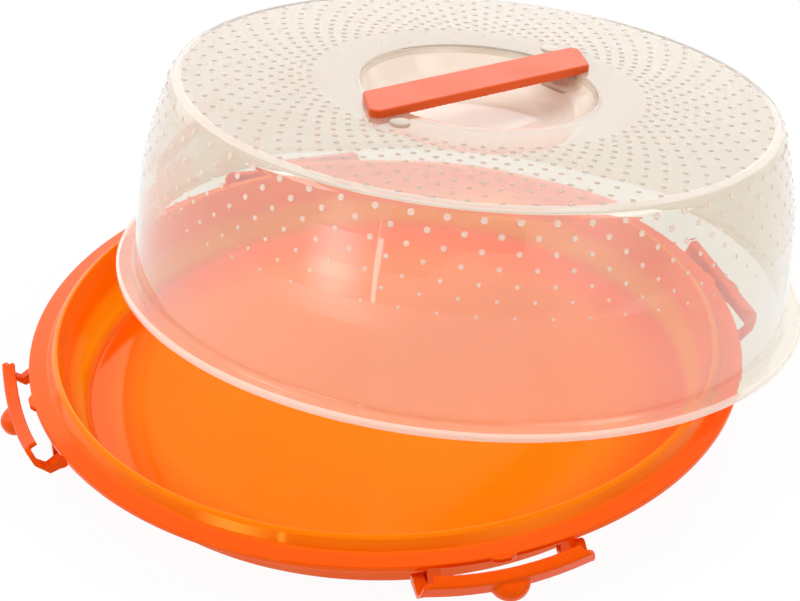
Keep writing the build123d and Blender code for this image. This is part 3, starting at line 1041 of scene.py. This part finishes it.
@dataclass
class Studio:
    """Pale table, white surround, large soft lamps and cards for the mirror reflections."""

    cards: tuple[Card, ...]
    fill: float = 0.55
    mirrored: float = 0.8
    lamp_aim: Spot = (0.02, 0.03, 0.06)
    lights: tuple[tuple[str, Spot, float, float], ...] = (
        ("softbox_left", (-1.2, -0.3, 1.2), 0.6, 9.0),
        ("softbox_right", (1.3, -0.4, 1.2), 0.6, 6.0),
        ("softbox_top", (0.1, 0.5, 1.7), 1.0, 9.0),
    )
    table_size: float = 4.0
    table_level: float = -0.0004
    table_glow: Point = (0.95, 0.45)
    table_colour: str = "#f4f4f4"
    camera_spot: Spot = (0.0241, -0.8589, 0.619)
    camera_aim: Spot = (0, 0.8292, -0.5589)
    camera_lens: float = 94.85
    camera_shift: Point = (-0.0435, 0.0256)
    camera_reach: float = 20.0

    def world(self) -> None:
        """White surround that the camera sees as plain white."""
        world = bpy.data.worlds.new("surround")
        bpy.context.scene.world = world
        world.use_nodes = True
        tree = world.node_tree
        tree.nodes.clear()
        path = add_node(tree, "ShaderNodeLightPath")
        lit = add_node(
            tree,
            "ShaderNodeMapRange",
            links={"Value": path.outputs["Diffuse Depth"]},
            values={"To Min": 1.0, "To Max": self.fill},
        )
        mirrored = add_node(
            tree,
            "ShaderNodeMapRange",
            links={"Value": path.outputs["Glossy Depth"]},
            values={"To Min": 1.0, "To Max": self.mirrored},
        )
        strength = add_node(
            tree,
            "ShaderNodeMath",
            {"operation": "MINIMUM"},
            links={0: lit.outputs[0], 1: mirrored.outputs[0]},
        )
        glow = add_node(
            tree, "ShaderNodeBackground", links={"Strength": strength.outputs[0]}, values={"Color": WHITE}
        )
        add_node(tree, "ShaderNodeOutputWorld", links={"Surface": glow.outputs[0]})

    def table(self) -> None:
        """Plain white table top."""
        mesh = bmesh.new()
        bmesh.ops.create_grid(mesh, x_segments=1, y_segments=1, size=self.table_size)
        table = finished("table_top", mesh, Matrix.Translation((0, 0, self.table_level)))
        material, tree = new_material("white_table")
        path = add_node(tree, "ShaderNodeLightPath")
        share = add_node(
            tree,
            "ShaderNodeMapRange",
            links={"Value": path.outputs["Diffuse Depth"]},
            values={"To Min": self.table_glow[0], "To Max": self.table_glow[1]},
        )
        matt = add_node(tree, "ShaderNodeBsdfDiffuse", values={"Color": linear(self.table_colour)})
        glow = add_node(tree, "ShaderNodeEmission", values={"Color": WHITE, "Strength": 1.0})
        mixed = add_node(
            tree, "ShaderNodeMixShader", links={0: share.outputs[0], 1: matt.outputs[0], 2: glow.outputs[0]}
        )
        add_node(tree, "ShaderNodeOutputMaterial", links={"Surface": mixed.outputs[0]})
        table.data.materials.append(material)

    def lamps(self) -> None:
        """Soft boxes aimed at the carrier."""
        for name, spot, size, power in self.lights:
            data = bpy.data.lights.new(name, "AREA")
            data.shape = "SQUARE"
            data.size = size
            data.energy = power
            lamp = bpy.data.objects.new(name, data)
            lamp.visible_glossy = False
            bpy.context.scene.collection.objects.link(lamp)
            aim = Vector(self.lamp_aim) - Vector(spot)
            lamp.matrix_world = Matrix.Translation(spot) @ aim.to_track_quat("-Z", "Y").to_matrix().to_4x4()

    def camera(self) -> None:
        """Camera at the height and distance of a product shot, 34 degrees down."""
        data = bpy.data.cameras.new("camera")
        data.sensor_width = 36.0
        data.sensor_fit = "HORIZONTAL"
        data.lens = self.camera_lens
        data.shift_x, data.shift_y = self.camera_shift
        data.clip_end = self.camera_reach
        camera = bpy.data.objects.new("camera", data)
        bpy.context.scene.collection.objects.link(camera)
        turn = Vector(self.camera_aim).to_track_quat("-Z", "Y").to_matrix().to_4x4()
        camera.matrix_world = Matrix.Translation(self.camera_spot) @ turn
        bpy.context.scene.camera = camera

    def build(self) -> None:
        """Set the whole stage."""
        bpy.context.scene.view_settings.view_transform = "Standard"
        self.world()
        self.table()
        self.lamps()
        for card in self.cards:
            card.build()
        self.camera()


# Polished mould: mirror-bright. Its ramp by radius paints light and shade into the orange: painted shade as a
# darker ring of the floor next to the wall, a painted glow that makes the thin wall yellower and brighter,
# and a painted highlight that makes the crest yellower. It is redder over the rim band and the skirt.
TRAY_FINISH = OrangePolypropylene(
    name="orange_polypropylene_tray",
    roughness=0.045,
    shine=0.68,
    colouring=Colouring.BY_RADIUS,
    # The ramp's colours at 142 and 148 mm paint shade by the wall's foot, those from 149.6 to 154.4 mm paint
    # a glow on the wall, and the one at 160.5 mm paints a highlight on the crest.
    orange_and_painted_light_stops=(
        (0, "#ff7e00"),
        (118, "#ff7a00"),
        (142, "#fd6000"),
        (148, "#fd5e00"),
        (149.6, "#ff8804"),
        (151, "#ffa010"),
        (154.4, "#ff980c"),
        (156, "#ff7000"),
        (160.5, "#ff8000"),
        (164.5, "#fe6600"),
        (167, "#fa5000"),
        (173.5, "#fa5000"),
        (175, "#f64c00"),
    ),
)
# Plain mould face under the rim: dull, so the white table doesn't show in it.
UNDERSIDE_FINISH = OrangePolypropylene(
    name="orange_polypropylene_underside", base="#fb6c14", deep="#f66008", roughness=0.5, shine=0.12
)
# Satin mould: soft, faint highlights along the bars.
LATCH_FINISH = OrangePolypropylene(
    name="orange_polypropylene_latch", base="#f45204", deep="#ee4c03", roughness=0.2, shine=0.28
)
# Satin mould that lies nearly level: a broad warm sheen over the strap.
HANDLE_FINISH = OrangePolypropylene(
    name="orange_polypropylene_handle",
    base="#e64c04",
    deep="#de4604",
    roughness=0.3,
    shine=0.8,
    gloss_tint="#ffdca0",
)
# Thin walls are clear and mirror-bright; the lip, seen through its depth, looks milky. The bead looks milky
# partly for its depth and partly as a painted highlight: its pale line stands in for the bright line of light
# along the top edge.
LID_FINISHES = {
    LidZone.SIDE: ClearPolypropylene(
        name="clear_polypropylene_lid",
        tint="#ede8dd",
        through="#fdf8f2",
        clarity=0.84,
        roughness=0.04,
        skin=1.0,
    ),
    LidZone.LIP: ClearPolypropylene(
        name="clear_polypropylene_lip",
        tint="#faf3ea",
        through="#f3ebe0",
        clarity=0.45,
        roughness=0.08,
    ),
    LidZone.THICK: ClearPolypropylene(
        name="clear_polypropylene_bowl",
        tint="#fcf6ee",
        through="#f8f2ea",
        clarity=0.66,
        roughness=0.08,
    ),
    # The top is the side's clear plastic with a darker, greyer tint and a little less clarity: painted shade.
    LidZone.TOP: ClearPolypropylene(
        name="clear_polypropylene_lid_top",
        tint="#e1dbcf",
        through="#fdf8f2",
        clarity=0.81,
        roughness=0.04,
        skin=1.0,
    ),
}
# Pips of the top stand out darker and duller than the sheet they rise from.
TOP_DOT_FINISH = ClearPolypropylene(
    name="clear_polypropylene_top_dot",
    tint="#e3d4c8",
    through="#ece2d6",
    clarity=0.66,
    roughness=0.3,
    skin=0.25,
)
# Pips of the side are paler than the wall and a little rough, so each shows as a bright spot: the paler tint
# is a painted highlight.
SIDE_DOT_FINISH = ClearPolypropylene(
    name="clear_polypropylene_side_dot",
    tint="#fbf0e6",
    through="#f0e6da",
    clarity=0.6,
    roughness=0.15,
    skin=1.0,
)

CARDS = (
    upright_card("backdrop", 1.5, ends=((-2.5, 1.6), (2.5, 1.6)), span=(0.02, 1.6)),
    upright_card("dark_behind_camera", 0.1, ends=((-0.64, -1.25), (0.47, -1.25)), span=(0.42, 1.3)),
    Card(
        "edge_light",
        6.0,
        ((-0.69, -1.24, 0.002), (-0.66, -1.24, 0.002), (-0.655, -1.24, 0.55), (-0.72, -1.24, 0.6)),
    ),
    Card(
        "dark_table_front",
        1.2,
        ((-0.1, -0.24, 0.001), (-0.64, -1.25, 0.001), (0.47, -1.25, 0.001), (0.12, -0.24, 0.001)),
    ),
    upright_card("glow_left", 5.5, ends=((-0.6, -1.3), (-1.3, -0.7)), span=(0.0, 0.6), fade=0.37),
    lying_card("glow_table", 3.2, near=(-1.1, -1.15), far=(-0.2, -0.3), fade=0.45),
    upright_card("glow_right", 2.4, ends=((0.5, -1.25), (1.25, -0.5)), span=(0.02, 1.0), fade=0.7),
    lying_card("glow_table_right", 2.4, near=(0.2, -1.0), far=(1.0, -0.2), fade=0.45),
)


def main() -> None:
    """Build the stage, then dress each piece."""
    logging.basicConfig(level=logging.INFO, format="%(name)s: %(message)s")
    Studio(CARDS).build()
    Tray(TRAY_FINISH.material(), UNDERSIDE_FINISH.material()).build()
    finishes = {zone: finish.material() for zone, finish in LID_FINISHES.items()}
    Lid(finishes, TOP_DOT_FINISH.material(), SIDE_DOT_FINISH.material()).build()
    latch = LATCH_FINISH.material()
    for side in ("front", "left", "right", "back"):
        Moulding(f"latch_{side}", f"{side}_latch", "latch", latch, voxel_mm=0.45).build()
    Moulding("carry_handle", "cover", "handle", HANDLE_FINISH.material(), voxel_mm=0.6).build()


if __name__ == "__main__":
    main()
